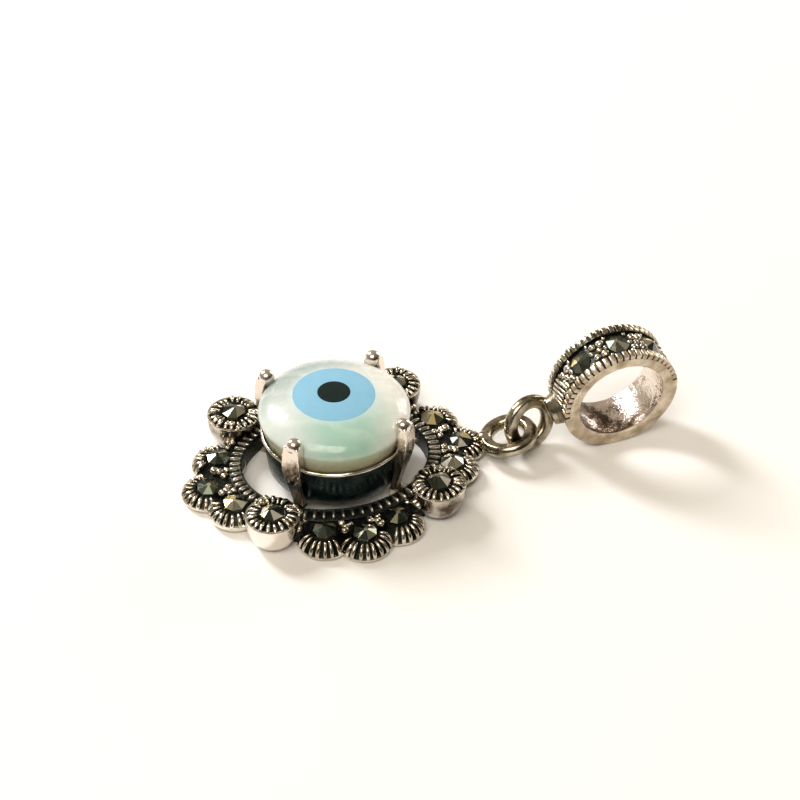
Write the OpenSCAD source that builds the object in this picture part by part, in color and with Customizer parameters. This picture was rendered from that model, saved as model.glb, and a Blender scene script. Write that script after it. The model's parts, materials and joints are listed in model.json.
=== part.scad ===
// Evil eye pendant in cast silver. An openwork frame of marcasite settings surrounds a prong cup that
// holds a mother-of-pearl eye, and two interlocked loops join the frame to a marcasite bail.
// The pendant lies on its back: X runs from its lower tip to the bail, Z points up through the eye,
// and the origin is under the centre of the eye, on the surface that the pendant rests on.

/* [Eye stone] */
// Diameter of the stone at its girdle
stone_d = 10; // [9.4:0.1:10.4]
// Height of the domed crown above the girdle
crown_h = 1.65; // [1.3:0.05:2]
// Height of the girdle above the rim of the cup
girdle_rise = 1.35; // [1.1:0.05:1.6]
// Depth of the stone below the rim of the cup
stone_sink = 0.45; // [0.3:0.05:0.7]
// How much smaller in radius the stone is at its flat back than at its girdle
stone_taper = 0.5; // [0.3:0.05:0.7]
// Diameter of the blue iris inlay
iris_d = 5.4; // [4.4:0.1:6.2]
// Depth of the iris inlay below the top of the crown
iris_t = 0.6; // [0.5:0.05:0.8]
// Diameter of the black pupil inlay
pupil_d = 2.15; // [1.5:0.05:3]
// Depth of the pupil inlay below the top of the crown
pupil_t = 0.3; // [0.2:0.05:0.4]
// Gap left between pieces that are set in each other
gap = 0.03; // [0.02:0.01:0.05]

/* [Cup and prongs] */
// Height of the rim of the cup above the surface
cup_h = 4.1; // [3.6:0.05:4.6]
// Height of the foot of the cup's wall above the surface
cup_foot_h = 1.3; // [1.1:0.05:1.5]
// Diameter of the cup at its foot
cup_foot_d = 8.9; // [8.6:0.1:9]
// Diameter of the round opening in the back of the cup
cup_bore_d = 8.1; // [7.6:0.1:8.2]
// Thickness of the thin rim round the stone
rim_t = 0.22; // [0.15:0.01:0.3]
// Width of a prong at its shoulder
prong_w = 1.3; // [1:0.05:1.6]
// Width of a prong at its foot
prong_foot_w = 0.8; // [0.6:0.05:1.1]
// Thickness of a prong
prong_t = 0.45; // [0.35:0.05:0.6]
// Diameter of the bead at the tip of a prong
bead_d = 1.04; // [0.8:0.02:1.1]
// How far the centre of that bead lies outside the girdle
bead_out = 0.15; // [0.14:0.01:0.25]
// Height of the bead's centre above the girdle
bead_rise = 0.9; // [0.85:0.05:1]
// Width of the four struts between the cup and the ring
strut_w = 1; // [0.7:0.1:1.4]

/* [Frame] */
// Distance from the centre to the end stones, along the pendant
tip_reach = 8.65; // [8.5:0.05:9]
// How far the two stones beside an end stone lie from the long axis
tip_spread = 2.35; // [2.2:0.05:2.5]
// How far those two stones lie behind the end stone
tip_setback = 1.25; // [1.1:0.05:1.3]
// Distance from the centre to the flank stones, across the pendant
flank_reach = 7.4; // [7.3:0.05:7.8]
// How far the two stones beside a flank stone lie from the cross axis
flank_spread = 2.45; // [2.3:0.05:2.6]
// How far those two stones lie behind the flank stone
flank_setback = 0.9; // [0.7:0.05:0.95]
// Place of the raised corner stones along the pendant
corner_x = 5.6; // [5.4:0.05:5.8]
// Place of the raised corner stones across the pendant
corner_y = 5.3; // [5.1:0.05:5.5]
// Thickness of the back plate
plate_t = 1; // [0.7:0.05:1.1]
// Half length of the opening in the frame, along the pendant
ring_long = 6.25; // [6:0.05:6.35]
// Half width of the opening in the frame, across the pendant
ring_wide = 5; // [4.9:0.05:5.1]
// Width of the ribbed ring round the opening
ring_w = 0.88; // [0.7:0.02:0.92]
// Width of the plain lip along the ring's inner edge
ring_lip_w = 0.22; // [0.1:0.02:0.3]
// Height of the ring below its ribs
ring_h = 1.2; // [1.1:0.05:1.3]
// Height of the plain lip and of the ribs on the ring
ring_rib_h = 0.22; // [0.1:0.02:0.3]
// Number of ribs on the ring
ring_ribs = 68; // [48:4:80]

/* [Settings] */
// Diameter of a marcasite
marcasite_d = 1.6; // [1.4:0.05:1.7]
// Height of a marcasite's crown above its collar
marcasite_rise = 0.3; // [0.2:0.02:0.4]
// Depth of the hole that a marcasite sits in
seat_t = 0.42; // [0.36:0.02:0.46]
// Width of the ribbed collar round a marcasite
collar_w = 1; // [0.9:0.05:1.05]
// Width of the thin rim of metal between a marcasite and the ribs
bezel_w = 0.15; // [0.1:0.01:0.2]
// How much smaller in radius a collar is at its foot than at its lip
collar_taper = 0.5; // [0.3:0.05:0.7]
// Height of the collars of the two end stones
tip_top = 0.95; // [0.9:0.05:1.1]
// Height of the collars of the two flank stones
flank_top = 1.2; // [1.05:0.05:1.3]
// Height of the eight collars beside them
side_top = 1.25; // [1.1:0.05:1.4]
// Height of the four raised corner collars
corner_top = 2.5; // [2.3:0.05:2.8]
// Height of the lips of the end collars
tip_lip = 0.4; // [0.3:0.05:0.45]
// Height of the lips of the flank collars and of those beside them
flank_lip = 0.3; // [0.2:0.05:0.4]
// Height of the lips of the collars beside the end collars
side_lip = 0.6; // [0.4:0.05:0.65]
// Height of the lips of the raised corner collars
corner_lip = 1.95; // [1.7:0.05:2]
// Depth of the grooves between the ribs
groove_t = 0.2; // [0.1:0.02:0.26]
// Number of ribs in a full circle of a collar
collar_ribs = 20; // [16:1:24]
// Part of the pitch that a rib fills
rib_share = 0.56; // [0.4:0.02:0.7]
// Diameter of the small beads between the settings
grain_d = 0.56; // [0.4:0.02:0.6]

/* [Loops] */
// Outer diameter of each of the two loops
loop_d = 4; // [3.95:0.05:4.2]
// Thickness of the wire of the loops
wire_d = 0.96; // [0.88:0.02:0.98]
// How far the frame's loop reaches over the end collar that it is soldered to
loop_seat = 0.55; // [0.5:0.05:0.65]
// Diameter of the bead of solder between the frame's loop and its collar
solder_d = 1.2; // [1:0.05:1.3]
// Height of the centre of the frame's loop
loop_z = 1.32; // [1.32:0.02:1.4]
// Upward tilt of the frame's loop, in degrees
loop_tilt = 12; // [11.5:0.5:15]
// Turn of the frame's loop round the end stone, in degrees
loop_turn = -17; // [-20:1:-14]
// Direction in which the bail's loop hangs from the centre of the frame's loop, in degrees
hang_turn = 4; // [2:1:12]
// Turn of the bail's loop away from the long axis, in degrees
link_yaw = 20; // [14:1:22]
// Lean of the bail's loop towards the back, in degrees
link_lean = 12; // [8:1:14]
// Clearance between the two loops where they cross
link_gap = 0.1; // [0.08:0.01:0.12]
// Length of the neck between the bail and its loop
neck_l = 0.05; // [0:0.05:0.3]
// Thickness of the neck
neck_d = 1.8; // [1:0.05:1.85]

/* [Bail] */
// Outer diameter of the bail
bail_d = 8.1; // [7.9:0.1:8.6]
// Diameter of the opening that the chain runs through
bore_d = 6; // [5.6:0.1:6.1]
// Width of the bail's band
bail_w = 3.1; // [3:0.05:3.4]
// Turn of the bail away from the long axis, in degrees
bail_yaw = 4; // [2:0.5:6]
// Lean of the bail towards the front, in degrees
bail_lean = 6; // [0:0.5:8]
// How far the bail stands off the middle of its neck, towards the front
bail_shift = 0.4; // [0.3:0.05:0.45]
// Width of the channel that holds the bail's marcasites
channel_w = 1.9; // [1.8:0.05:1.95]
// Depth of the channel
channel_t = 0.25; // [0.15:0.05:0.3]
// Number of marcasites on the bail
bail_stones = 3; // [2:1:3]
// Angle of the marcasite next to the neck, from the far end of the bail over its top, in degrees
first_stone = 132; // [130:1:134]
// Angle between neighbouring marcasites on the bail, in degrees
stone_step = 42; // [40:1:44]
// Angle at which the decorated part of the bail starts, from its far end over its top, in degrees
decorated_from = 12; // [8:1:14]
// Angle at which the decorated part ends, next to the neck, in degrees
decorated_to = 188; // [186:1:190]
// Number of notches along each edge of the decorated part
notches = 26; // [20:1:28]
// Width of a notch
notch_w = 0.17; // [0.1:0.01:0.2]
// Depth of a notch
notch_t = 0.34; // [0.2:0.02:0.4]

/* [Hidden] */
$fn = 48;
// Overlap of solids that are fused
lap = 0.05;
// How far a cutter reaches past the surface that it cuts
past = 1;

// Heights and radii of the stone and its cup
stone_r = stone_d / 2;
girdle_z = cup_h + girdle_rise;
crown_z = girdle_z + crown_h;
back_z = cup_h - stone_sink;
back_r = stone_r - stone_taper;
rim_in_r = back_r + stone_taper * stone_sink / (stone_sink + girdle_rise) + gap;
rim_r = rim_in_r + rim_t;
foot_r = cup_foot_d / 2;

// Radii and heights of the settings
marcasite_r = marcasite_d / 2;
collar_r = marcasite_r + collar_w;
collar_rim_r = marcasite_r + bezel_w;
rib_pitch = 360 / collar_ribs;

// Radii of the loops and the bail
wire_r = wire_d / 2;
loop_r = loop_d / 2 - wire_r;
bail_r = bail_d / 2;
channel_r = bail_r - channel_t;

function dir(a) = [cos(a), sin(a)];
function angle_of(v) = atan2(v[1], v[0]);

// Columns of the list of settings: place, heights of the collar and its lip, and how far its ribs run over
// its neighbours
AT = 0;
TOP = 1;
LIP = 2;
OVER = 3;

// The three settings of one lobe that points out at an angle
function lobe(out, reach, spread, setback, top, lip, lip_beside) = [
    [(reach - setback) * dir(out) - spread * dir(out + 90), side_top, lip_beside, 0],
    [reach * dir(out), top, lip, 16],
    [(reach - setback) * dir(out) + spread * dir(out + 90), side_top, lip_beside, 0]
];
function end_lobe(out) = lobe(out, tip_reach, tip_spread, tip_setback, tip_top, tip_lip, side_lip);
function flank_lobe(out) =
    lobe(out, flank_reach, flank_spread, flank_setback, flank_top, flank_lip, flank_lip);
function corner(x, y) = [[[x * corner_x, y * corner_y], corner_top, corner_lip, 180]];
SETTINGS = concat(
    end_lobe(0), corner(1, 1), flank_lobe(90), corner(-1, 1),
    end_lobe(180), corner(-1, -1), flank_lobe(270), corner(1, -1)
);
COUNT = len(SETTINGS);
TIP = 1;

// The ribs of a setting run round its outer side, from where one neighbour's collar meets it to the other's
function to_neighbour(i, step) = SETTINGS[(i + step + COUNT) % COUNT][AT] - SETTINGS[i][AT];
function meeting(v) = acos(min(1, norm(v) / 2 / collar_r));
function ribs_from(i) = angle_of(to_neighbour(i, -1)) + meeting(to_neighbour(i, -1));
function ribs_span(i) = let (
    to = angle_of(to_neighbour(i, 1)) - meeting(to_neighbour(i, 1)),
    open = (to - ribs_from(i) + 720) % 360
) min(360 - rib_pitch, open + 2 * SETTINGS[i][OVER]);
function ribs_middle(i) = let (
    to = angle_of(to_neighbour(i, 1)) - meeting(to_neighbour(i, 1))
) ribs_from(i) + ((to - ribs_from(i) + 720) % 360) / 2;

// The frame's loop is soldered to the end collar, and its far wire lies low inside the bail's loop
loop_at = SETTINGS[TIP][AT] + (collar_r + loop_d / 2 - loop_seat) * dir(loop_turn);
solder_at = SETTINGS[TIP][AT] + (collar_r - loop_seat / 4) * dir(loop_turn);
hang = hang_turn - loop_turn;
hung_from = concat(
    loop_at + loop_r * (cos(hang) * cos(loop_tilt) * dir(loop_turn) + sin(hang) * dir(loop_turn + 90)),
    [loop_z + loop_r * cos(hang) * sin(loop_tilt)]
);
link_at = hung_from + [0, 0, loop_r * cos(link_lean) - wire_d - link_gap];

// The bail stands on the surface on its lower front edge, and its neck reaches down to its loop
bail_z = bail_r * cos(bail_lean) + bail_w / 2 * sin(bail_lean);
neck_reach = bail_r + neck_l + loop_d / 2;
neck_angle = asin((bail_z - link_at[2]) / (neck_reach * cos(bail_lean)));
link_back = neck_reach * cos(neck_angle);
link_side = neck_reach * sin(neck_angle) * sin(bail_lean);
bail_at = [
    link_at[0] + link_back * cos(bail_yaw) + (link_side + bail_shift) * sin(bail_yaw),
    link_at[1] + link_back * sin(bail_yaw) - (link_side + bail_shift) * cos(bail_yaw),
    bail_z
];

function marcasite_name(i) = str("marcasite_", i < 9 ? "0" : "", i + 1);
function bail_marcasite_name(i) = str("bail_marcasite_", i + 1);

// Half of the stone's section, grown by a clearance: flat back, leaning side and domed crown
function stone_section(grow) = concat(
    [[0, back_z - grow], [back_r + grow, back_z - grow]],
    [for (a = [0 : 7.5 : 82.5]) [(stone_r + grow) * cos(a), girdle_z + (crown_h + grow) * sin(a)]],
    [[0, crown_z + grow]]
);

module stone_body(grow = 0) {
    rotate_extrude() polygon(stone_section(grow));
}

module inlay_recess(d, t, grow) {
    translate([0, 0, crown_z - t - grow]) cylinder(d = d + 2 * grow, h = t + past);
}

module eye_stone() {
    color("honeydew") difference() {
        stone_body();
        inlay_recess(iris_d, iris_t, 0);
    }
}

module iris() {
    color("lightskyblue") difference() {
        intersection() {
            stone_body();
            inlay_recess(iris_d, iris_t, -gap);
        }
        inlay_recess(pupil_d, pupil_t, 0);
    }
}

module pupil() {
    color("black") intersection() {
        stone_body();
        inlay_recess(pupil_d, pupil_t, -gap);
    }
}

module oval(long, wide) {
    polygon([for (a = [0 : 5 : 355]) [long * cos(a), wide * sin(a)]]);
}

// Flat back plate through all the settings, and the ring on its inner edge, without the opening
module plate() {
    linear_extrude(plate_t) polygon([for (s = SETTINGS) s[AT]]);
    linear_extrude(ring_h) oval(ring_long + ring_w, ring_wide + ring_w);
}

// Plain lip along the opening, and the ribs that run outwards from it
module ring_rib_bars() {
    half = 360 / ring_ribs * rib_share / 2;
    translate([0, 0, ring_h - lap]) linear_extrude(ring_rib_h + lap) {
        difference() {
            oval(ring_long + ring_lip_w, ring_wide + ring_lip_w);
            oval(ring_long, ring_wide);
        }
        for (i = [0 : ring_ribs - 1]) let (a = (i + 0.5) * 360 / ring_ribs)
            polygon([
                [(ring_long + lap) * cos(a - half), (ring_wide + lap) * sin(a - half)],
                [(ring_long + ring_w - lap) * cos(a - half), (ring_wide + ring_w - lap) * sin(a - half)],
                [(ring_long + ring_w - lap) * cos(a + half), (ring_wide + ring_w - lap) * sin(a + half)],
                [(ring_long + lap) * cos(a + half), (ring_wide + lap) * sin(a + half)]
            ]);
    }
}

// Round collar of one setting: a bowl up to the lip, a sloping skirt and the ribs that stand on it
module collar(i) {
    top = SETTINGS[i][TOP];
    lip = SETTINGS[i][LIP];
    count = floor(ribs_span(i) / rib_pitch) + 1;
    first = ribs_middle(i) - (count - 1) / 2 * rib_pitch;
    rotate_extrude() polygon(concat(
        [[0, 0]],
        [for (a = [0 : 22.5 : 90]) [collar_r - collar_taper * (1 - sin(a)), lip * (1 - cos(a))]],
        [[collar_r - groove_t, lip], [collar_rim_r, top - groove_t], [0, top - groove_t]]
    ));
    intersection() {
        translate([0, 0, lip - lap]) cylinder(r1 = collar_r - lap, r2 = collar_rim_r, h = top - lip + lap);
        linear_extrude(top + past) for (k = [0 : count - 1]) rotate(first + k * rib_pitch)
            rib_wedge(rib_pitch * rib_share / 2);
    }
}

module rib_wedge(half) {
    near = marcasite_r * 0.8;
    far = collar_r + past;
    polygon([
        [near * cos(half), -near * sin(half)], [far * cos(half), -far * sin(half)],
        [far * cos(half), far * sin(half)], [near * cos(half), near * sin(half)]
    ]);
}

// A pair of beads between two neighbouring settings, one further in than the other
module grains(i) {
    step = to_neighbour(i, 1);
    inward = dir(angle_of(step) + 90);
    middle = SETTINGS[i][AT] + step / 2;
    for (k = [0.1, 0.75]) translate(concat(middle + k * grain_d * inward, [side_top - grain_d / 4]))
        sphere(d = grain_d, $fn = 24);
}

// Tapered cup round the foot of the stone, open at the back, with a seat under the stone. The feet of the
// prongs carry it above the struts.
module cup() {
    difference() {
        translate([0, 0, cup_foot_h]) cylinder(r1 = foot_r, r2 = rim_r, h = cup_h - cup_foot_h);
        translate([0, 0, -past]) cylinder(d = cup_bore_d, h = cup_h + 2 * past);
        stone_body(gap);
    }
}

// Four claws cut from one turned shell that follows the cup and the stone. They reach their full width just
// under the rim of the cup.
module prongs() {
    outer = stone_r + gap + prong_t;
    shoulder = cup_h - rim_t;
    face = [
        [-prong_foot_w / 2, 0], [prong_foot_w / 2, 0], [prong_w / 2, shoulder], [prong_w / 2, girdle_z],
        [bead_d / 3, girdle_z + bead_rise], [-bead_d / 3, girdle_z + bead_rise],
        [-prong_w / 2, girdle_z], [-prong_w / 2, shoulder]
    ];
    intersection() {
        rotate_extrude() polygon([
            [foot_r - lap, 0], [foot_r + prong_t / 2, 0], [outer, cup_h], [outer + lap, girdle_z],
            [stone_r + bead_out + bead_d / 3, girdle_z + bead_rise],
            [stone_r + bead_out - bead_d / 4, girdle_z + bead_rise],
            [stone_r - lap, girdle_z + bead_rise * 0.6], [stone_r + 2 * gap, girdle_z],
            [stone_r + 2 * gap, cup_h], [rim_r - rim_t / 2, cup_h], [foot_r - lap, cup_foot_h]
        ]);
        for (a = [45 : 90 : 315]) rotate([90, 0, a + 90]) translate([0, 0, foot_r - past])
            linear_extrude(outer + past) polygon(face);
    }
    for (a = [45 : 90 : 315]) rotate(a) translate([stone_r + bead_out, 0, girdle_z + bead_rise])
        sphere(d = bead_d);
}

module struts() {
    for (a = [45 : 90 : 315]) rotate(a)
        translate([foot_r - 2 * lap, -strut_w / 2, 0]) cube([ring_wide + ring_w - foot_r, strut_w, plate_t]);
}

module wire_loop() {
    rotate_extrude() translate([loop_r, 0]) circle(d = wire_d, $fn = 32);
}

module frame() {
    color("silver") difference() {
        union() {
            difference() {
                union() {
                    plate();
                    for (i = [0 : COUNT - 1]) translate(SETTINGS[i][AT]) collar(i);
                }
                translate([0, 0, -past]) linear_extrude(corner_top + 2 * past) oval(ring_long, ring_wide);
            }
            ring_rib_bars();
            for (i = [0 : COUNT - 1]) grains(i);
            struts();
            cup();
            prongs();
            translate(concat(loop_at, [loop_z])) rotate([0, -loop_tilt, loop_turn]) wire_loop();
            translate(concat(solder_at, [tip_top])) sphere(d = solder_d, $fn = 32);
        }
        for (s = SETTINGS) translate(concat(s[AT], [s[TOP] - seat_t]))
            cylinder(r = marcasite_r + gap, h = seat_t + past);
    }
}

// Cut stone with eight facets below the girdle, eight above it and a table, standing on its seat
module cut_stone() {
    rotate_extrude($fn = 8) polygon([
        [0, gap], [marcasite_r * 0.4, gap], [marcasite_r, seat_t * 0.6], [marcasite_r, seat_t],
        [marcasite_r * 0.4, seat_t + marcasite_rise], [0, seat_t + marcasite_rise]
    ]);
}

module marcasite(i) {
    s = SETTINGS[i];
    color("darkslategray") translate(concat(s[AT], [s[TOP] - seat_t])) rotate(angle_of(s[AT])) cut_stone();
}

// Puts what is built round the Y axis, with its near face at the front, where the bail stands
module in_bail() {
    translate(bail_at) rotate([0, 0, bail_yaw]) rotate([bail_lean, 0, 0]) children();
}

// Turns a shape that is drawn round Z so that it lies round the bail's axis
module round_bail() {
    rotate([90, 0, 0]) children();
}

module at_bail_stone(i) {
    rotate([0, -(first_stone - i * stone_step), 0]) translate([channel_r - seat_t, 0, 0])
        rotate([0, 90, 0]) children();
}

module band() {
    difference() {
        round_bail() translate([0, 0, -bail_w / 2]) cylinder(r = bail_r, h = bail_w);
        round_bail() translate([0, 0, -bail_w / 2 - past]) cylinder(d = bore_d, h = bail_w + 2 * past);
        round_bail() rotate(decorated_from) rotate_extrude(angle = decorated_to - decorated_from)
            translate([channel_r, -channel_w / 2]) square([channel_t + past, channel_w]);
        for (side = [-1, 1]) round_bail() notch_cutters(side);
        for (i = [0 : bail_stones - 1]) at_bail_stone(i) cylinder(r = marcasite_r + gap, h = seat_t + past);
    }
}

// Notches across one edge of the band, all along its decorated part
module notch_cutters(side) {
    edge = (bail_w - channel_w) / 2;
    step = (decorated_to - decorated_from) / notches;
    translate([0, 0, side * (channel_w / 2 + edge / 2 + lap) - edge / 2 - lap]) linear_extrude(edge + 2 * lap)
        for (i = [0 : notches - 1]) rotate(decorated_from + (i + 0.5) * step)
            translate([bail_r - notch_t, -notch_w / 2]) square([notch_t + past, notch_w]);
}

// Two pairs of beads in the channel, on each side of each marcasite
module channel_grains() {
    for (i = [-1 : bail_stones - 1], swing = [-4.5, 4.5], side = [-1, 1])
        rotate([0, -(first_stone - (i + 0.5) * stone_step + swing), 0])
            translate([channel_r, side * channel_w / 4, 0]) sphere(d = grain_d, $fn = 24);
}

module bail() {
    color("silver") {
        in_bail() {
            band();
            channel_grains();
            translate(bail_shift * [0, cos(bail_lean), -sin(bail_lean)]) rotate([0, 180 - neck_angle, 0])
                translate([channel_r - 2 * lap, 0, 0]) rotate([0, 90, 0])
                    cylinder(d = neck_d, h = 2 * lap + channel_t + neck_l + wire_r);
        }
        translate(link_at) rotate([90 - link_lean, 0, link_yaw]) wire_loop();
    }
}

module bail_marcasite(i) {
    color("darkslategray") in_bail() at_bail_stone(i) cut_stone();
}

frame();
eye_stone();
iris();
pupil();
bail();
for (i = [0 : COUNT - 1]) marcasite(i);
for (i = [0 : bail_stones - 1]) bail_marcasite(i);
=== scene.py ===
import json
import math
import random

import bpy
from mathutils import Matrix, Vector, geometry, noise


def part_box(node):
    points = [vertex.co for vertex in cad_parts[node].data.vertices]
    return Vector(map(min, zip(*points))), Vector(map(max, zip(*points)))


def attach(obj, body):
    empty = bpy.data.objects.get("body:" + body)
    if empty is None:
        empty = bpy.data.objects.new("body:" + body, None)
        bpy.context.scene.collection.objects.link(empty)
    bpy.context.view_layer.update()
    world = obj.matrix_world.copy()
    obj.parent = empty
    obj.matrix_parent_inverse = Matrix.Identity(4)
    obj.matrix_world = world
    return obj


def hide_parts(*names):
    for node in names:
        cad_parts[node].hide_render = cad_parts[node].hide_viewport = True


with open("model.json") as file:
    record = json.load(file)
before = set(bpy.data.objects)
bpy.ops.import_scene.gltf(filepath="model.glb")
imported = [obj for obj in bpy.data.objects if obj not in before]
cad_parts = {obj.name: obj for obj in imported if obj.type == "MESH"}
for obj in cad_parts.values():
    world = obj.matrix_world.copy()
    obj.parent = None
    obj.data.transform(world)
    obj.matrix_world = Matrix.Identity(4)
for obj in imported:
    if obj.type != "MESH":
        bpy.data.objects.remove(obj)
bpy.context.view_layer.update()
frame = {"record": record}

MM = 0.001


# Camera
# It looks down at the pendant from its lower left, at the angle of the photograph.
camera_elevation = math.radians(39.76)
camera_turn = math.radians(-16.07)
camera_distance = 200 * MM
looked_at = Vector((6.14, 5.75, 0.36)) * MM
towards_camera = Vector((
    math.sin(camera_turn) * math.cos(camera_elevation),
    -math.cos(camera_turn) * math.cos(camera_elevation),
    math.sin(camera_elevation),
))
camera = bpy.data.objects.new("camera", bpy.data.cameras.new("camera"))
camera.data.lens = 131.4
camera.data.clip_start = 1 * MM
camera.location = looked_at + towards_camera * camera_distance
camera.rotation_euler = (-towards_camera).to_track_quat("-Z", "Y").to_euler()
bpy.context.collection.objects.link(camera)
bpy.context.scene.camera = camera


# Light
# A window stands behind and to the left, with a wide soft panel over the front and a weak one at the right.
# The room between them is dim and warm, which gives the polished metal its contrast.
def soft_panel(name, direction, distance, width, height, watts, colour):
    light = bpy.data.lights.new(name, "AREA")
    light.shape = "RECTANGLE"
    light.size = width
    light.size_y = height
    light.energy = watts
    light.color = colour
    panel = bpy.data.objects.new(name, light)
    away = Vector(direction).normalized()
    panel.location = away * distance
    panel.rotation_euler = (-away).to_track_quat("-Z", "Y").to_euler()
    bpy.context.collection.objects.link(panel)


class Wire:
    """A socket in a material. Sums, differences and products of wires add their Math nodes."""

    def __init__(self, tree, socket=None):
        self.tree = tree
        self.socket = socket

    def node(self, kind, settings, inputs, output=0):
        """Adds a node, sets its settings, then the values or wires of its sockets."""
        made = self.tree.nodes.new("ShaderNode" + kind)
        for name, value in settings.items():
            setattr(made, name, value)
        for name, value in inputs.items():
            if isinstance(value, Wire):
                self.tree.links.new(value.socket, made.inputs[name])
            else:
                made.inputs[name].default_value = value
        return Wire(self.tree, made.outputs[output])

    def maths(self, operation, a, b):
        return self.node("Math", {"operation": operation}, {0: a, 1: b})

    def __add__(self, other):
        return self.maths("ADD", self, other)

    def __radd__(self, other):
        return self.maths("ADD", other, self)

    def __sub__(self, other):
        return self.maths("SUBTRACT", self, other)

    def __rsub__(self, other):
        return self.maths("SUBTRACT", other, self)

    def __mul__(self, other):
        return self.maths("MULTIPLY", self, other)

    def __rmul__(self, other):
        return self.maths("MULTIPLY", other, self)


def step(wire, value, low, high, to_low=0, to_high=1):
    """Value taken from the range low to high to another range, and held at its ends."""
    return wire.node("MapRange", {}, {0: value, 1: low, 2: high, 3: to_low, 4: to_high})


def mixed(wire, share, first, second):
    return wire.node("Mix", {"data_type": "RGBA"}, {0: share, 6: first, 7: second}, 2)


soft_panel("window", (-0.4, 0.67, 0.60), 0.5, 0.10, 0.20, 2.0, (1, 0.99, 0.98))
soft_panel("overhead", (-0.3, -0.5, 1), 1.0, 0.7, 0.5, 5.3, (1, 0.93, 0.82))
soft_panel("right", (0.85, 0.5, 0.25), 0.6, 0.2, 0.3, 0.8, (1, 0.98, 0.95))
room = bpy.data.worlds.new("room")
room.use_nodes = True
wire = Wire(room.node_tree)
outlook = wire.node("TexCoord", {}, {}, 0)
to_window = wire.node("VectorMath", {"operation": "DOT_PRODUCT"}, {0: outlook, 1: (-0.3, 0.7, 0.65)}, 1)
walls = mixed(wire, step(wire, to_window, -0.5, 0.8), (0.05, 0.04, 0.03, 1), (0.42, 0.36, 0.28, 1))
wire.tree.links.new(walls.socket, room.node_tree.nodes["Background"].inputs["Color"])
bpy.context.scene.world = room
bpy.context.scene.view_settings.view_transform = "Standard"


# Floor
# A plain pale surface under the pendant, which shows its soft warm shadow.
def new_material(name):
    """A material with nothing but its shader, and a wire to add nodes with."""
    made = bpy.data.materials.new(name)
    made.use_nodes = True
    return made, made.node_tree.nodes["Principled BSDF"], Wire(made.node_tree)


def grain_of(wire, size, detail=2, roughness=0.5):
    """Soft noise with spots of about the given size."""
    place = wire.node("TexCoord", {}, {}, 3)
    return wire.node("TexNoise", {}, {
        "Vector": place, "Scale": 1 / size, "Detail": detail, "Roughness": roughness,
    })


def bumped(wire, height, distance, strength):
    return wire.node("Bump", {}, {"Height": height, "Distance": distance, "Strength": strength})


def feed(wire, shader, **sockets):
    for name, value in sockets.items():
        socket = shader.inputs[name.replace("_", " ")]
        if isinstance(value, Wire):
            wire.tree.links.new(value.socket, socket)
        else:
            socket.default_value = value


bpy.ops.object.select_all(action="DESELECT")
bpy.ops.mesh.primitive_plane_add(size=3)
floor = bpy.context.object
floor.name = "floor"
paper, paper_shader, wire = new_material("paper")
feed(
    wire, paper_shader,
    Base_Color=mixed(wire, grain_of(wire, 30 * MM), (0.95, 0.94, 0.92, 1), (0.97, 0.96, 0.945, 1)),
    Roughness=0.75,
)
floor.data.materials.append(paper)


# Back plate
# A flat plate of cast silver joins all the settings at their middles. It is blackened with oxide, and worn
# a little brighter in specks.
def cast_silver(name, clean, tarnished, rough_low, rough_high, dent):
    """Polished silver with a thin warm tarnish and the fine scratches of its polishing."""
    made, shader, wire = new_material(name)
    cloud = grain_of(wire, 0.9 * MM, 3)
    fine = grain_of(wire, 0.07 * MM, 4, 0.65)
    feed(
        wire, shader,
        Base_Color=mixed(wire, step(wire, cloud, 0.35, 0.68), clean, tarnished),
        Metallic=1.0,
        Roughness=step(wire, fine, 0.3, 0.7, rough_low, rough_high),
        Normal=bumped(wire, fine + 0.5 * cloud, dent * MM, 0.6),
    )
    return made


def blackened_silver(name, dull, worn):
    """Oxide in the low places of the casting, rubbed through in specks."""
    made, shader, wire = new_material(name)
    grain = grain_of(wire, 0.12 * MM, 4, 0.6)
    feed(
        wire, shader,
        Base_Color=mixed(wire, step(wire, grain, 0.56, 0.72), dull, worn),
        Metallic=0.8,
        Roughness=step(wire, grain, 0.3, 0.7, 0.5, 0.28),
        Normal=bumped(wire, grain, 0.02 * MM, 0.8),
    )
    return made


bright = cast_silver("bright_silver", (0.86, 0.80, 0.71, 1), (0.34, 0.30, 0.21, 1), 0.1, 0.26, 0.008)
black = blackened_silver("oxide", (0.009, 0.012, 0.011, 1), (0.13, 0.125, 0.10, 1))


def drawn(name, points):
    """A chain of edges through points, extruded from one vertex. It is left in edit mode."""
    bpy.ops.object.select_all(action="DESELECT")
    bpy.ops.mesh.primitive_plane_add(size=MM)
    piece = bpy.context.object
    piece.name = name
    bpy.ops.object.mode_set(mode="EDIT")
    bpy.ops.mesh.merge(type="CENTER")
    bpy.ops.transform.translate(value=Vector(points[0]))
    for here, there in zip(points, points[1:]):
        move = Vector(there) - Vector(here)
        bpy.ops.mesh.extrude_region_move(TRANSFORM_OT_translate={"value": move})
    return piece


def turned(name, outline, sides, closed=False):
    """An outline of radii and heights in mm, turned once round the Z axis."""
    points = [(r * MM, 0, z * MM) for r, z in outline]
    piece = drawn(name, points + points[:1] if closed else points)
    bpy.ops.mesh.select_all(action="SELECT")
    bpy.ops.mesh.spin(steps=sides, angle=math.tau, center=(0, 0, 0), axis=(0, 0, 1))
    bpy.ops.mesh.select_all(action="SELECT")
    bpy.ops.mesh.remove_doubles(threshold=0.002 * MM)
    bpy.ops.mesh.normals_make_consistent(inside=False)
    bpy.ops.object.mode_set(mode="OBJECT")
    return piece


def coated(piece, *materials, rule=None):
    """Gives a piece its materials. A rule says which of them each face takes, from its middle in mm."""
    piece.data.materials.clear()
    for made in materials:
        piece.data.materials.append(made)
    for face in piece.data.polygons:
        face.material_index = rule(face.center / MM) if rule else 0


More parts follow.
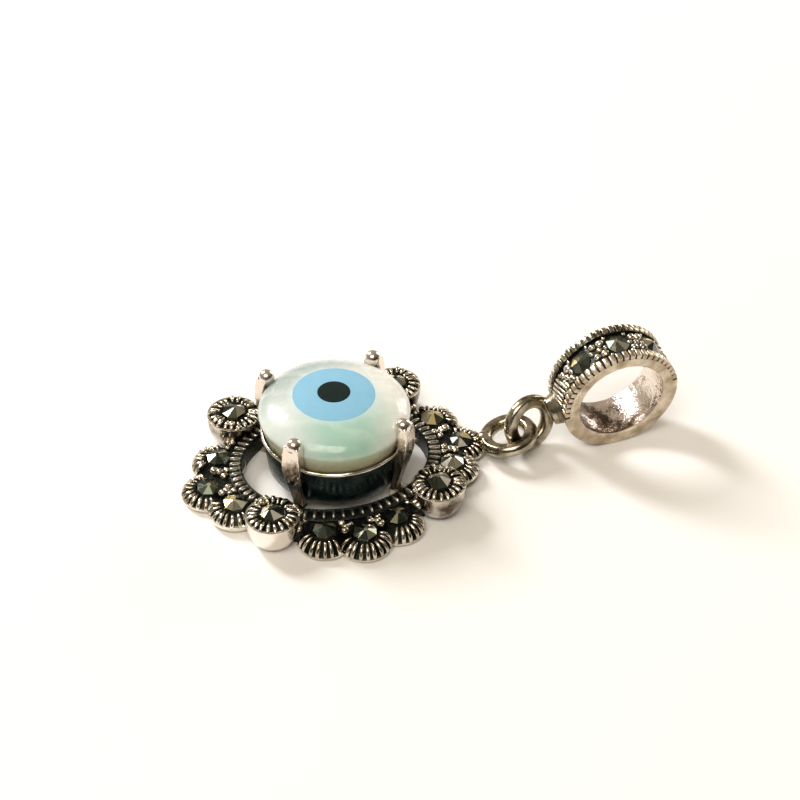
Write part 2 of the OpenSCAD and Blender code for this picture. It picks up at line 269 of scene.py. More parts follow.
def smoothed(piece, degrees=40):
    bpy.ops.object.select_all(action="DESELECT")
    piece.select_set(True)
    bpy.context.view_layer.objects.active = piece
    bpy.ops.object.shade_smooth_by_angle(angle=math.radians(degrees))


def fitted(piece, slot, *nodes):
    """A finished piece rides on the pendant and stands for its CAD nodes."""
    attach(piece, "root")
    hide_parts(*nodes)


plate_t = 1.0
ring_long = 6.25
ring_wide = 5.0
ring_w = 0.88
under_ring = 0.3
oval_sides = 144
marcasite_rise = 0.3
end_lips = [0.6, 0.4, 0.6]
flank_lips = [0.3, 0.3, 0.3]
corner_lip = 2.2
lips = (end_lips + [corner_lip] + flank_lips + [corner_lip]) * 2
settings = []
for i, lip in enumerate(lips):
    low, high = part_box(f"marcasite_{i + 1:02d}")
    middle = (low + high) / 2 / MM
    settings.append((Vector((middle.x, middle.y, 0)), high.z / MM - marcasite_rise, lip))


def plate_reach(direction):
    """How far the outline through the settings lies from the centre in one direction."""
    corners = [at.xy for at, top, lip in settings]
    for here, there in zip(corners, corners[1:] + corners[:1]):
        met = geometry.intersect_line_line_2d(Vector((0, 0)), direction * 20, here, there)
        if met:
            return met.length


plate = turned("back_plate", [(1, 0), (2, 0), (2, plate_t), (1, plate_t)], oval_sides, closed=True)
for corner in plate.data.vertices:
    direction = corner.co.xy.normalized()
    if corner.co.xy.length < 1.5 * MM:
        corner.co.x = (ring_long + under_ring) * MM * direction.x
        corner.co.y = (ring_wide + under_ring) * MM * direction.y
    else:
        corner.co.xy = direction * plate_reach(direction) * MM
coated(plate, black)
smoothed(plate)
fitted(plate, "silver", "frame")


# Ribbed ring
# A flat oval ring edges the frame's opening, cast in one with the plate and blackened. Small blunt ribs lie
# across it, rubbed back to worn silver, with the black left between them.
ring_h = 1.2
ring_top = 1.42
ring_lip_w = 0.22
ring_ribs = 68
ring_rib_l = 0.84
ring_rib_w = 0.25
ring_rib_h = 0.46


def finger(name, length, wide, tall):
    """A blunt bar along the X axis with rounded ends, in mm."""
    bpy.ops.object.select_all(action="DESELECT")
    bpy.ops.mesh.primitive_uv_sphere_add(segments=10, ring_count=8, radius=MM, rotation=(0, math.pi / 2, 0))
    bpy.ops.object.transform_apply(rotation=True)
    piece = bpy.context.object
    piece.name = name
    for corner in piece.data.vertices:
        x, y, z = corner.co / MM
        slim = math.hypot(y, z)
        blunt = slim ** -0.5 if slim > 0.01 else 0
        corner.co = Vector((x * length / 2, y * blunt * wide / 2, z * blunt * tall / 2)) * MM
    return piece


def moved(x, y, z):
    return Matrix.Translation(Vector((x, y, z)) * MM)


def turn(degrees, axis):
    return Matrix.Rotation(math.radians(degrees), 4, axis)


def copied(piece, matrix):
    """Another of the same piece with its own mesh, put in its place by a matrix."""
    other = piece.copy()
    other.data = piece.data.copy()
    other.data.transform(matrix)
    bpy.context.collection.objects.link(other)
    return other


def joined(name, pieces):
    bpy.ops.object.select_all(action="DESELECT")
    for piece in pieces:
        piece.select_set(True)
    bpy.context.view_layer.objects.active = pieces[0]
    bpy.ops.object.join()
    pieces[0].name = name
    return pieces[0]


def repeated(piece, matrices):
    """Copies of a piece, one for each matrix, in place of the piece itself."""
    copies = [copied(piece, matrix) for matrix in matrices]
    bpy.data.objects.remove(piece)
    return copies


ring = turned("ring", [
    (ring_wide, 0), (ring_wide, ring_top - 0.07), (ring_wide + 0.03, ring_top - 0.02),
    (ring_wide + 0.07, ring_top), (ring_wide + ring_lip_w - 0.05, ring_top),
    (ring_wide + ring_lip_w - 0.01, ring_top - 0.04), (ring_wide + ring_lip_w, ring_h - 0.04),
    (ring_wide + ring_w - 0.05, ring_h - 0.06), (ring_wide + ring_w, ring_h - 0.12),
    (ring_wide + ring_w, 0),
], oval_sides, closed=True)
coated(ring, black)
for corner in ring.data.vertices:
    corner.co.x += (ring_long - ring_wide) * MM * corner.co.xy.normalized().x
rib = finger("ring_rib", ring_rib_l, ring_rib_w, ring_rib_h)
rib.data.transform(moved(0.01 + ring_rib_l / 2, 0, ring_h + 0.08))
worn = cast_silver("worn_silver", (0.90, 0.86, 0.78, 1), (0.33, 0.32, 0.26, 1), 0.2, 0.38, 0.008)
coated(rib, worn)
ribs = []
for i in range(ring_ribs):
    angle = (i + 0.5) * 360 / ring_ribs
    x = ring_long * math.cos(math.radians(angle))
    y = ring_wide * math.sin(math.radians(angle))
    ribs.append(moved(x, y, 0) @ turn(angle, "Z"))
ring = joined("ribbed_ring", [ring, *repeated(rib, ribs)])
smoothed(ring, 50)
fitted(ring, "silver", "frame")


# Collars
# Sixteen cast collars hold the frame's marcasites. Each is a bowl of plain silver with a thin lip, and from
# the lip blunt ribs run in to the stone over a blackened skirt. The four at the corners stand higher.
marcasite_r = 0.8
seat_depth = 0.42
collar_r = 1.8
collar_foot_r = 1.3
corner_foot_r = 0.75
lip_thick = 0.15
groove_depth = 0.2
collar_sides = 48
collar_ribs = 21
rib_wide = 0.2
rib_tall = 0.34
rib_from_r = 0.9
rib_overlaps = [0, 16, 0, 180] * 4


def along(wire, x, y, z):
    """Distance in mm along a direction, times the direction's length."""
    place = wire.node("TexCoord", {}, {}, 3)
    way = (x / MM, y / MM, z / MM)
    return wire.node("VectorMath", {"operation": "DOT_PRODUCT"}, {0: place, 1: way}, 1)


body_silver, shader, wire = new_material("body_silver")
cloud = grain_of(wire, 1.1 * MM, 3)
fine = grain_of(wire, 0.1 * MM, 4, 0.65)
# The bowls take random tarnish in clouds, and painted shade that darkens them towards the right and back.
tarnish_and_painted_shade = step(wire, cloud + 0.03 * along(wire, 1, 1, 0), 0.3, 0.58)
feed(
    wire, shader,
    Base_Color=mixed(wire, tarnish_and_painted_shade, (0.92, 0.86, 0.80, 1), (0.10, 0.075, 0.05, 1)),
    Metallic=1.0,
    Roughness=step(wire, fine, 0.3, 0.7, 0.14, 0.3),
    Normal=bumped(wire, fine + 3 * cloud, 0.01 * MM, 0.6),
)


def heading(direction):
    return math.degrees(math.atan2(direction.y, direction.x))


def rib_angles(i):
    """Directions of one collar's ribs: its outer side, from one neighbour round to the other."""
    here = settings[i][0]
    back = settings[i - 1][0] - here
    ahead = settings[(i + 1) % len(settings)][0] - here
    first = heading(back) + math.degrees(math.acos(min(1, back.length / 2 / collar_r)))
    last = heading(ahead) - math.degrees(math.acos(min(1, ahead.length / 2 / collar_r)))
    pitch = 360 / collar_ribs
    opening = (last - first) % 360
    count = int(min(360 - pitch, opening + 2 * rib_overlaps[i]) / pitch) + 1
    start = first + opening / 2 - (count - 1) / 2 * pitch
    return [start + k * pitch for k in range(count)]


def collar_bowl(top, lip):
    foot_r = corner_foot_r if lip == corner_lip else collar_foot_r
    side = [
        (collar_r - (collar_r - foot_r) * (1 - math.sin(a)), lip * (1 - math.cos(a)))
        for a in [math.radians(15 * k) for k in range(6)]
    ]
    skirt_top = top - groove_depth
    return turned("collar", [
        (0, 0), *side,
        (collar_r - 0.01, lip - 0.05), (collar_r, lip), (collar_r - 0.03, lip + 0.05),
        (collar_r - lip_thick, lip + 0.05), (collar_r - lip_thick - 0.04, lip - 0.02),
        (marcasite_r + 0.12, skirt_top), (marcasite_r + 0.08, skirt_top + 0.12),
        (marcasite_r + 0.03, skirt_top + 0.12), (marcasite_r + 0.02, skirt_top),
        (marcasite_r + 0.02, top - seat_depth), (0, top - seat_depth),
    ], collar_sides)


def collar_rib(top, lip):
    """A blunt finger along the skirt. It swells in its middle, and flares towards the lip."""
    run = collar_r - 0.03 - rib_from_r
    fall = top - lip - 0.08
    length = math.hypot(run, fall)
    rib = finger("rib", length, rib_wide, rib_tall)
    for corner in rib.data.vertices:
        inwards = 0.5 - corner.co.x / MM / length
        corner.co.y *= 1.65 - 0.65 * inwards
        corner.co.z *= 0.7 + 0.3 * inwards
        corner.co.z += (0.03 + (0.5 + 0.3 * fall) * inwards * (1 - inwards)) * MM
    slope = math.degrees(math.atan2(fall, run))
    rib.data.transform(moved(rib_from_r + run / 2, 0, (top + lip) / 2 - 0.1) @ turn(slope, "Y"))
    return rib


collars = []
hand = random.Random(11)
for i, (at, top, lip) in enumerate(settings):
    bowl = collar_bowl(top, lip)
    coated(bowl, body_silver, black, bright, rule=lambda c: (
        0 if c.z < lip - 0.05 and c.xy.length > 0.5
        else 1 if c.xy.length < collar_r - lip_thick * 0.9
        else 2
    ))
    rib = collar_rib(top, lip)
    coated(rib, bright)
    cuts = [
        turn(a + hand.uniform(-2, 2), "Z")
        @ Matrix.Diagonal((1, hand.uniform(0.88, 1.1), hand.uniform(0.94, 1.04), 1))
        for a in rib_angles(i)
    ]
    collar = joined(f"collar_{i + 1:02d}", [bowl, *repeated(rib, cuts)])
    collar.data.transform(moved(*at))
    collars.append(collar)
collars = joined("collars", collars)
smoothed(collars, 50)
fitted(collars, "silver", "frame")


# Grains
# Small beads of silver fill the corners between the settings, cast with them and left uneven. A pair sits
# between each two neighbours, and smaller ones crowd the plate along the ring.
grain_r = 0.28
grain_z = 1.11
ring_grains = 72
scatter = random.Random(7)


def metal_height(x, y):
    """Height of the plate or of the highest skirt over a point."""
    heights = [plate_t]
    for at, top, lip in settings:
        out = math.hypot(x - at.x, y - at.y)
        if out < collar_r:
            inwards = min(1, (collar_r - out) / (collar_r - marcasite_r))
            heights.append(lip + (top - groove_depth - lip) * inwards)
    return max(heights)


def clear_of_stones(x, y):
    return min(math.hypot(x - at.x, y - at.y) for at, top, lip in settings) > marcasite_r + 0.42


def grain_place(x, y, z, size):
    tilt = turn(scatter.uniform(0, 360), "Z") @ turn(scatter.uniform(0, 180), "X")
    scale = Matrix.Diagonal((size, size * scatter.uniform(0.85, 1), size * scatter.uniform(0.85, 1), 1))
    return moved(x, y, z) @ tilt @ scale


def cast_grain():
    """An uneven bead of 1 mm radius."""
    bpy.ops.object.select_all(action="DESELECT")
    bpy.ops.mesh.primitive_ico_sphere_add(subdivisions=3, radius=MM)
    grain = bpy.context.object
    for corner in grain.data.vertices:
        corner.co *= 1 + 0.12 * noise.noise(corner.co / MM * 1.4)
    coated(grain, bright)
    return grain


grain_places = []
for i, (at, top, lip) in enumerate(settings):
    ahead = settings[(i + 1) % len(settings)][0] - at
    inwards = Vector((-ahead.y, ahead.x, 0)).normalized()
    for k in (0.1, 0.75):
        x, y, z = at + ahead / 2 + k * 2 * grain_r * inwards
        grain_places.append(grain_place(x, y, grain_z + 0.06, grain_r * scatter.uniform(0.95, 1.1)))
    for k, aside in ((1.45, -0.3), (1.45, 0.3), (0.45, -0.5), (0.45, 0.5)):
        x, y, z = at + ahead / 2 + k * 2 * grain_r * inwards + aside * ahead.normalized()
        size = scatter.uniform(0.2, 0.27)
        outside_ring = math.hypot(x / (ring_long + ring_w), y / (ring_wide + ring_w)) > 1
        if outside_ring and clear_of_stones(x, y):
            grain_places.append(grain_place(x, y, metal_height(x, y) + 0.4 * size, size))
for i in range(ring_grains):
    angle = math.tau * (i + scatter.uniform(-0.2, 0.2)) / ring_grains
    out = ring_w + scatter.choice((0.2, 0.5))
    x = (ring_long + out) * math.cos(angle)
    y = (ring_wide + out) * math.sin(angle)
    size = scatter.uniform(0.16, 0.25)
    if clear_of_stones(x, y) and Vector((x, y)).length < plate_reach(Vector((x, y)).normalized()):
        grain_places.append(grain_place(x, y, metal_height(x, y) + 0.3 * size, size))
grains = joined("grains", repeated(cast_grain(), grain_places))
smoothed(grains, 60)
fitted(grains, "silver", "frame")


# Struts
# Four short bars of cast silver tie the cup to the ring, under the prongs.
strut_w = 1.0
cup_foot_r = 4.45
strut_l = ring_wide + ring_w - cup_foot_r
prong_angles = (45, 135, 225, 315)


def rounded_block(name, size, edge):
    """A block of a size in mm with its edges rounded off, centred on the origin."""
    bpy.ops.object.select_all(action="DESELECT")
    bpy.ops.mesh.primitive_cube_add(size=MM)
    piece = bpy.context.object
    piece.name = name
    bpy.ops.object.mode_set(mode="EDIT")
    bpy.ops.transform.resize(value=size, center_override=(0, 0, 0))
    bpy.ops.mesh.bevel(offset=edge * MM, segments=3, affect="EDGES")
    bpy.ops.object.mode_set(mode="OBJECT")
    return piece


strut = rounded_block("strut", (strut_l, strut_w, plate_t), 0.1)
strut.data.transform(moved(cup_foot_r - 0.1 + strut_l / 2, 0, plate_t / 2))
coated(strut, bright)
struts = joined("struts", repeated(strut, [turn(a, "Z") for a in prong_angles]))
smoothed(struts)
fitted(struts, "silver", "frame")


# Cup
# A tapered collet of sheet silver carries the stone on an inner ledge, and the feet of the prongs hold it
# above the struts. Its wall is glossy, its dark teal colour is a painted reflection, and its thin rim is
# polished.
cup_h = 4.1
cup_foot_h = 1.3
cup_rim_r = 4.875
cup_bore_r = 4.05
stone_back_z = 3.65
stone_back_r = 4.5
round_sides = 128
cup_wall, shader, wire = new_material("cup_wall")
# The wall's mottled dark teal colour is a painted dark reflection.
dark_reflection_mottle = grain_of(wire, 1.3 * MM, 3)
feed(
    wire, shader,
    Base_Color=mixed(wire, step(wire, dark_reflection_mottle, 0.4, 0.65), (0.035, 0.066, 0.075, 1), (0.08, 0.115, 0.115, 1)),
    Metallic=0.9,
    Roughness=step(wire, dark_reflection_mottle, 0.3, 0.7, 0.2, 0.34),
    Normal=bumped(wire, grain_of(wire, 0.1 * MM, 3), 0.003 * MM, 0.5),
)
cup = turned("cup", [
    (cup_bore_r, cup_foot_h), (cup_foot_r - 0.04, cup_foot_h), (cup_foot_r, cup_foot_h + 0.05),
    (4.52, 1.9), (4.64, 2.8), (4.76, 3.6), (4.79, 3.83), (cup_rim_r - 0.05, cup_h - 0.24),
    (cup_rim_r, cup_h - 0.18), (cup_rim_r + 0.01, cup_h - 0.1), (cup_rim_r - 0.03, cup_h - 0.02),
    (cup_rim_r - 0.09, cup_h + 0.01), (cup_rim_r - 0.15, cup_h - 0.03), (cup_rim_r - 0.2, cup_h - 0.12),
    (stone_back_r + 0.04, stone_back_z - 0.03), (cup_bore_r, stone_back_z - 0.03),
], round_sides, closed=True)
for corner in cup.data.vertices:
    if corner.co.z > (cup_h - 0.2) * MM and corner.co.xy.length > (cup_rim_r - 0.16) * MM:
        corner.co.z += 0.035 * MM * noise.noise(corner.co / MM * 1.7)
coated(cup, cup_wall, bright, rule=lambda c: (
    1 if c.z > cup_h - 0.16 and c.xy.length > cup_rim_r - 0.2 else 0
))
smoothed(cup)
fitted(cup, "silver", "frame")


# Prongs
# Four claws are cast with the cup. Each widens from its foot to a shoulder under the stone, narrows over
# the girdle and ends in a round bead, pressed down on the dome. The lower half of each is painted dark in
# streaks, as painted shade.
bead_r = 0.56
bead_out_r = 5.15
bead_z = 6.25
skin_step = 0.05
claw_sections = [                      # height, inner and outer radius, half width
    (0.00, 4.40, 4.72, 0.42), (0.80, 4.42, 4.78, 0.42), (1.40, 4.44, 4.88, 0.44), (2.20, 4.52, 5.10, 0.50),
    (3.00, 4.62, 5.34, 0.57), (3.60, 4.70, 5.50, 0.62), (4.10, 4.80, 5.62, 0.66), (4.70, 5.02, 5.70, 0.67),
    (5.20, 5.06, 5.72, 0.65), (5.70, 5.02, 5.72, 0.61), (6.35, 4.90, 5.62, 0.52),
]


def fused(name, pieces, rounds):
    """Solders pieces into one skin, and rounds the corners between them."""
    piece = joined(name, pieces)
    piece.data.transform(Matrix.Scale(1 / MM, 4))
    skin = piece.modifiers.new("skin", "REMESH")
    skin.mode = "VOXEL"
    skin.voxel_size = skin_step
    fillet = piece.modifiers.new("fillet", "SMOOTH")
    fillet.factor = 0.5
    fillet.iterations = rounds
    bpy.ops.object.modifier_apply(modifier="skin")
    bpy.ops.object.modifier_apply(modifier="fillet")
    piece.data.transform(Matrix.Scale(MM, 4))
    return piece


claw_silver, shader, wire = new_material("claw_silver")
place = wire.node("TexCoord", {}, {}, 3)
drawn_out = wire.node("VectorMath", {"operation": "MULTIPLY"}, {0: place, 1: (1, 1, 0.18)})
streaks = wire.node("TexNoise", {}, {"Vector": drawn_out, "Scale": 1 / (0.22 * MM), "Detail": 3.0})
# Painted shade: the claw's colour darkens in streaks towards its foot.
painted_shade_low = step(wire, along(wire, 0, 0, 1) + 3.4 * streaks, 6.7, 4.7)
feed(
    wire, shader,
    Base_Color=mixed(wire, painted_shade_low, (0.84, 0.75, 0.67, 1), (0.06, 0.046, 0.033, 1)),
    Metallic=1.0,
    Roughness=step(wire, streaks, 0.3, 0.7, 0.12, 0.26),
    Normal=bumped(wire, streaks, 0.006 * MM, 0.5),
)
bpy.ops.object.select_all(action="DESELECT")
bpy.ops.mesh.primitive_plane_add(size=2 * MM)
claw = bpy.context.object
bpy.ops.object.mode_set(mode="EDIT")
for _ in claw_sections[1:]:
    bpy.ops.mesh.extrude_region_move(TRANSFORM_OT_translate={"value": (0, 0, MM)})
bpy.ops.mesh.select_all(action="SELECT")
bpy.ops.mesh.normals_make_consistent(inside=False)
bpy.ops.object.mode_set(mode="OBJECT")
for corner in claw.data.vertices:
    z, inner, outer, half = claw_sections[round(corner.co.z / MM)]
    corner.co = Vector((outer if corner.co.x > 0 else inner, half if corner.co.y > 0 else -half, z)) * MM
bpy.ops.object.select_all(action="DESELECT")
bpy.ops.mesh.primitive_uv_sphere_add(segments=32, ring_count=16, radius=bead_r * MM)
bead = bpy.context.object
bead.data.transform(moved(bead_out_r, 0, bead_z))
claw = fused("claw", [claw, bead], 6)
coated(claw, claw_silver)
prongs = joined("prongs", repeated(claw, [turn(a, "Z") for a in prong_angles]))
smoothed(prongs, 80)
fitted(prongs, "silver", "frame")


# Frame's loop
# A ring of round wire is soldered to the collar at the pendant's upper end, over a bead of solder.
loop_r = 1.52
wire_r = 0.48
loop_at = (11.758, -0.950, 1.32)
loop_turn = -17
loop_tilt = -12
solder_at = (10.24, -0.486, 0.95)
solder_r = 0.6
loop_silver = cast_silver("loop_silver", (0.58, 0.52, 0.40, 1), (0.12, 0.10, 0.065, 1), 0.09, 0.2, 0.014)


def wire_ring(name, flat):
    """A ring of wire round the Z axis, with its two sides filed down to a share of its thickness."""
    bpy.ops.object.select_all(action="DESELECT")
    bpy.ops.mesh.primitive_torus_add(
        major_radius=loop_r * MM, minor_radius=wire_r * MM, major_segments=72, minor_segments=28
    )
    piece = bpy.context.object
    piece.name = name
    for corner in piece.data.vertices:
        corner.co.z = max(-flat * wire_r * MM, min(flat * wire_r * MM, corner.co.z))
    return piece


loop = wire_ring("frame_loop", 0.92)
loop.data.transform(moved(*loop_at) @ turn(loop_turn, "Z") @ turn(loop_tilt, "Y"))
bpy.ops.object.select_all(action="DESELECT")
bpy.ops.mesh.primitive_uv_sphere_add(segments=32, ring_count=16, radius=solder_r * MM)
solder = bpy.context.object
solder.data.transform(moved(*solder_at))
loop = fused("frame_loop", [loop, solder], 4)
coated(loop, loop_silver)
smoothed(loop, 80)
fitted(loop, "silver", "frame")


# Marcasites
# Small stones of pyrite, cut to a low point with a table and eight facets. Each facet's colour is a painted
# reflection, from near black over grey-green to pale yellow.
girdle_h = 0.25
table_r = 0.15
back_r = 0.5 * marcasite_r
girdle_turns = (0, 27, 82, 122, 176, 214, 262, 317)
# Painted reflections: one flat colour for each facet stands in for the light it throws back.
painted_facet_glints = [
    (0.03, 0.04, 0.032), (0.045, 0.06, 0.048), (0.08, 0.094, 0.072), (0.15, 0.165, 0.125),
    (0.30, 0.31, 0.24), (0.48, 0.46, 0.33), (0.90, 0.76, 0.38), (0.95, 0.93, 0.87),
]
sparkle = random.Random(23)
marcasite, shader, wire = new_material("marcasite")
painted_glint = wire.node("Attribute", {"attribute_name": "painted_glint"}, {})
pits = grain_of(wire, 0.09 * MM, 3, 0.6)
feed(
    wire, shader,
    Base_Color=mixed(wire, step(wire, pits, 0.6, 0.75, 0, 0.5), painted_glint, (0.30, 0.27, 0.18, 1)),
    Metallic=0.9,
    Roughness=step(wire, pits, 0.3, 0.7, 0.08, 0.22),
    Normal=bumped(wire, pits, 0.003 * MM, 0.5),
)


def cut_stone():
    """A stone of eight crown facets and a small table, with uneven facets, standing on its back."""
    facets = len(girdle_turns)
    bpy.ops.object.select_all(action="DESELECT")
    bpy.ops.mesh.primitive_circle_add(vertices=facets, radius=back_r * MM, fill_type="NGON")
    piece = bpy.context.object
    piece.name = "cut_stone"
    bpy.ops.object.mode_set(mode="EDIT")
    rings = [(marcasite_r, girdle_h), (marcasite_r, seat_depth), (table_r, seat_depth + marcasite_rise)]
    r, z = back_r, 0
    for next_r, next_z in rings:
        bpy.ops.mesh.extrude_region_move(TRANSFORM_OT_translate={"value": (0, 0, (next_z - z) * MM)})
        bpy.ops.transform.resize(value=(next_r / r, next_r / r, 1), center_override=(0, 0, 0))
        r, z = next_r, next_z
    bpy.ops.mesh.select_all(action="SELECT")
    bpy.ops.mesh.normals_make_consistent(inside=False)
    bpy.ops.object.mode_set(mode="OBJECT")
    for corner in piece.data.vertices:
        way = math.radians(girdle_turns[round(heading(corner.co) * facets / 360) % facets])
        corner.co.xy = Vector((math.cos(way), math.sin(way))) * corner.co.xy.length
    return piece


def facet_place(face):
    """Height and direction of a facet, to sort by: the order of the faces themselves changes between runs."""
    return round(face.center.z / MM, 2), heading(face.center)


def set_marcasite(name, node, matrix):
    """A copy of the cut stone at its place, with its own painted facet reflections and its table a little off
    the middle.
    """
    piece = copied(stone, Matrix.Identity(4))
    piece.name = name
    shift = Vector((sparkle.uniform(-0.14, 0.14), sparkle.uniform(-0.14, 0.14), 0)) * MM
    for corner in piece.data.vertices:
        if corner.co.z > (seat_depth + 0.1) * MM:
            corner.co += shift
        elif corner.co.z > (seat_depth - 0.05) * MM:
            corner.co.z += sparkle.uniform(-0.03, 0.05) * MM
    painted_glints = piece.data.attributes.new("painted_glint", "FLOAT_COLOR", "CORNER")
    # Each facet takes one painted reflection at random.
    for face in sorted(piece.data.polygons, key=facet_place):
        shade = sparkle.choice(painted_facet_glints)
        for k in face.loop_indices:
            painted_glints.data[k].color = (*shade, 1)
    piece.data.transform(matrix @ turn(sparkle.uniform(0, 45), "Z"))
    coated(piece, marcasite)
    fitted(piece, "marcasite", node)


stone = cut_stone()
for i, (at, top, lip) in enumerate(settings):
    seat = moved(at.x, at.y, top - seat_depth)
    set_marcasite(f"cut_marcasite_{i + 1:02d}", f"marcasite_{i + 1:02d}", seat)


# Eye stone
# A domed disc of mother-of-pearl, polished to a high gloss. It is pale green towards the front, yellows
# towards its lower edge, and shows soft wavy layers. A painted highlight whitens it at the right, painted
# shade turns it blue-grey at the back left, and more painted shade darkens its lowest band.
stone_r = 5.0
girdle_z = 5.45
crown_h = 1.65
iris_r = 2.7
inlay_depth = 0.6


def dome(r):
    """Height of the polished dome at a distance from its centre."""
    return girdle_z + crown_h * math.sqrt(max(0, 1 - (r / stone_r) ** 2))


nacre, shader, wire = new_material("nacre")
place = wire.node("TexCoord", {}, {}, 3)
warp = grain_of(wire, 2.2 * MM, 2)
rightwards = along(wire, 0.961, -0.277, 0)
backwards = along(wire, 0.277, 0.961, 0)
height = along(wire, 0, 0, 1) + 0.5 * warp
flat = wire.node("VectorMath", {"operation": "MULTIPLY"}, {0: place, 1: (1 / MM, 1 / MM, 0)})
outwards = wire.node("VectorMath", {"operation": "LENGTH"}, {0: flat}, 1)
off_middle = wire.node("Math", {"operation": "ABSOLUTE"}, {0: rightwards - 0.9})
green = step(wire, off_middle + 1.5 * warp, 4.6, 1.8) * step(wire, backwards + warp, 1.4, -1.4)
layers = wire.node("Math", {"operation": "SINE"}, {0: 2.6 * backwards + 0.9 * rightwards + 7 * warp})
# Painted highlight: the colour whitens towards the right.
body = mixed(wire, step(wire, rightwards + warp, 1, 4), (0.64, 0.71, 0.68, 1), (0.93, 0.93, 0.88, 1))
# Painted shade: the colour darkens to blue-grey towards the back left.
body = mixed(wire, step(wire, backwards - 0.8 * rightwards, 1.6, 5.2), body, (0.36, 0.44, 0.43, 1))
body = mixed(wire, green, body, (0.40, 0.63, 0.53, 1))
body = mixed(wire, step(wire, layers, 0.2, 1, 0, 0.2), body, (0.80, 0.86, 0.82, 1))
body = mixed(wire, step(wire, outwards, 3.2, 2.7, 0, 0.45), body, (0.62, 0.82, 0.88, 1))
body = mixed(wire, step(wire, height, 6.1, 5.2, 0, 0.75), body, (0.52, 0.49, 0.32, 1))
# Painted shade: the lowest band darkens towards the rim, where the dome curves under.
body = mixed(wire, step(wire, height, 5.5, 4.5, 0, 0.75), body, (0.24, 0.21, 0.10, 1))
feed(
    wire, shader,
    Base_Color=body,
    Roughness=step(wire, warp, 0.3, 0.7, 0.2, 0.35),
    Specular_IOR_Level=0.2,
    Coat_Weight=step(wire, grain_of(wire, 0.5 * MM, 3), 0.4, 0.6, 0.2, 1),
    Coat_Roughness=0.03,
    Normal=bumped(wire, layers + warp, 0.006 * MM, 0.2),
)
climb = [math.radians(4 * k) for k in range(15)]
crown = [(stone_r * math.cos(a), girdle_z + crown_h * math.sin(a)) for a in climb]
crown = [(r, z) for r, z in crown if r > iris_r + 0.1]
eye_stone = turned("pearl_eye", [
    (0, stone_back_z), (stone_back_r - 0.05, stone_back_z), (stone_back_r, stone_back_z + 0.04),
    (stone_back_r + 0.47, girdle_z - 0.12), *crown, (iris_r, dome(iris_r)),
    (iris_r, girdle_z + crown_h - inlay_depth), (0, girdle_z + crown_h - inlay_depth),
], round_sides)
coated(eye_stone, nacre)
smoothed(eye_stone, 30)
fitted(eye_stone, "nacre", "eye_stone")


# Iris
# A sky-blue inlay, let into a recess of the stone and polished flush with its dome.
pupil_r = 1.075
pupil_depth = 0.3
inlay_gap = 0.012
inlay_bed = 0.03
sky, shader, wire = new_material("sky_blue_inlay")
haze = grain_of(wire, 0.8 * MM, 3)
feed(
    wire, shader,
    Base_Color=mixed(wire, step(wire, haze, 0.35, 0.65), (0.24, 0.53, 0.74, 1), (0.26, 0.55, 0.76, 1)),
    Roughness=step(wire, haze, 0.3, 0.7, 0.4, 0.5),
    Specular_IOR_Level=0.1, Coat_Weight=1.0, Coat_Roughness=0.03,
)


def cap(name, inner, outer, bottom):
    """A slice of the dome between two radii, down to a flat back."""
    radii = [inner + (outer - inner) * k / 10 for k in range(11)]
    top = [(r, dome(r)) for r in radii]
    return turned(name, [*top, (outer, bottom), (inner, bottom)], round_sides, closed=inner > 0)


iris_back = girdle_z + crown_h - inlay_depth + inlay_bed
iris = cap("blue_iris", pupil_r + inlay_gap, iris_r - inlay_gap, iris_back)
coated(iris, sky)
smoothed(iris, 30)
fitted(iris, "blue_inlay", "iris")


# Pupil
# A near-black inlay with a green cast, let into the middle of the iris in the same way.
night, shader, wire = new_material("black_inlay")
haze = grain_of(wire, 0.5 * MM, 3)
feed(
    wire, shader,
    Base_Color=mixed(wire, step(wire, haze, 0.35, 0.65), (0.0, 0.010, 0.010, 1), (0.001, 0.014, 0.013, 1)),
    Roughness=step(wire, haze, 0.3, 0.7, 0.4, 0.5),
    Specular_IOR_Level=0.1, Coat_Weight=0.5, Coat_Roughness=0.03,
)
pupil = cap("black_pupil", 0, pupil_r, girdle_z + crown_h - pupil_depth + inlay_bed)
coated(pupil, night)
smoothed(pupil, 30)
fitted(pupil, "black_inlay", "pupil")


# Bail band
# A wide ring of cast silver for the chain. Its upper half has a blackened channel for the stones between
# two rails of small teeth, its faces and lower half are plain and worn, and its bore is hammered.
bail_at = Vector(frame["record"]["mounts"][0]["pos_m"]) / MM
bail_r = 4.05
bore_r = 3.0
half_w = 1.55
channel_half = 0.95
channel_r = 3.8
tooth_floor_r = 3.72
notch_depth = 0.1
band_sides = 162
decorated_from = 12
decorated_to = 188
teeth = 26
tooth_w = 0.35
ridges = 5
ridge_step = 5.4
bail_yaw = 4
bail_lean = 6
in_bail = moved(*bail_at) @ turn(bail_yaw, "Z") @ turn(bail_lean, "X")
face_silver = cast_silver("face_silver", (0.72, 0.62, 0.50, 1), (0.38, 0.30, 0.20, 1), 0.22, 0.36, 0.006)
bore_silver, shader, wire = new_material("bore_silver")
hammered = grain_of(wire, 0.5 * MM, 2)
cloud = grain_of(wire, 1.5 * MM, 2)
speckle = grain_of(wire, 0.14 * MM, 4, 0.7)
towards_neck = bail_at.x + 0.4 * bail_at.z - along(wire, 1, 0, 0.4)
# The bore's colour is darker in specks and clouds, and darker towards the neck.
darker_in_specks_and_to_neck = speckle + 1.2 * cloud + 0.07 * towards_neck
feed(
    wire, shader,
    Base_Color=mixed(wire, step(wire, darker_in_specks_and_to_neck, 1.08, 1.3), (0.84, 0.74, 0.66, 1), (0.09, 0.06, 0.04, 1)),
    Metallic=1.0,
    Roughness=step(wire, speckle, 0.3, 0.7, 0.14, 0.32),
    Normal=bumped(wire, hammered + 0.2 * speckle, 0.12 * MM, 0.6),
)


